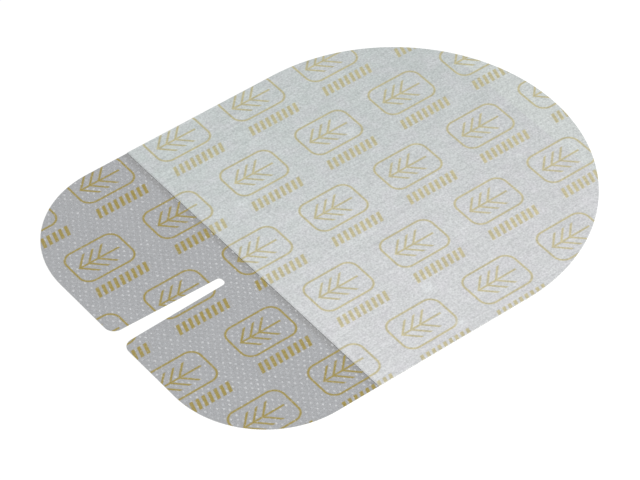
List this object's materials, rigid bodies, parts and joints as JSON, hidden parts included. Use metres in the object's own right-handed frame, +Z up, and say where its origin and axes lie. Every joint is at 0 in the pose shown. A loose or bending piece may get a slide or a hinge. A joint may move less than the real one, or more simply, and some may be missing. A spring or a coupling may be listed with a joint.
{
  "type": "transparent film dressing",
  "caption": "Flat slotted film dressing for a catheter site: printed release liner, clear adhesive film and a frosted carrier sheet.",
  "frame": {"origin": "middle of the underside of the release liner", "axes": "+X runs from the slotted end to the round end, +Y across the sheet, +Z up through the liner, the film and the carrier"},
  "size_m": [0.1204, 0.089, 0.0003],
  "materials": {
    "release_liner": "grey silicone-coated release paper with an ochre line print",
    "dressing_film": "clear polyurethane film with spots of acrylic adhesive",
    "carrier_sheet": "frosted translucent carrier paper, the print showing through it"
  },
  "bodies": {
    "root": {"release_liner": "release_liner", "dressing_film": "dressing_film", "carrier_sheet": "carrier_sheet"}
  },
  "joints": []
}
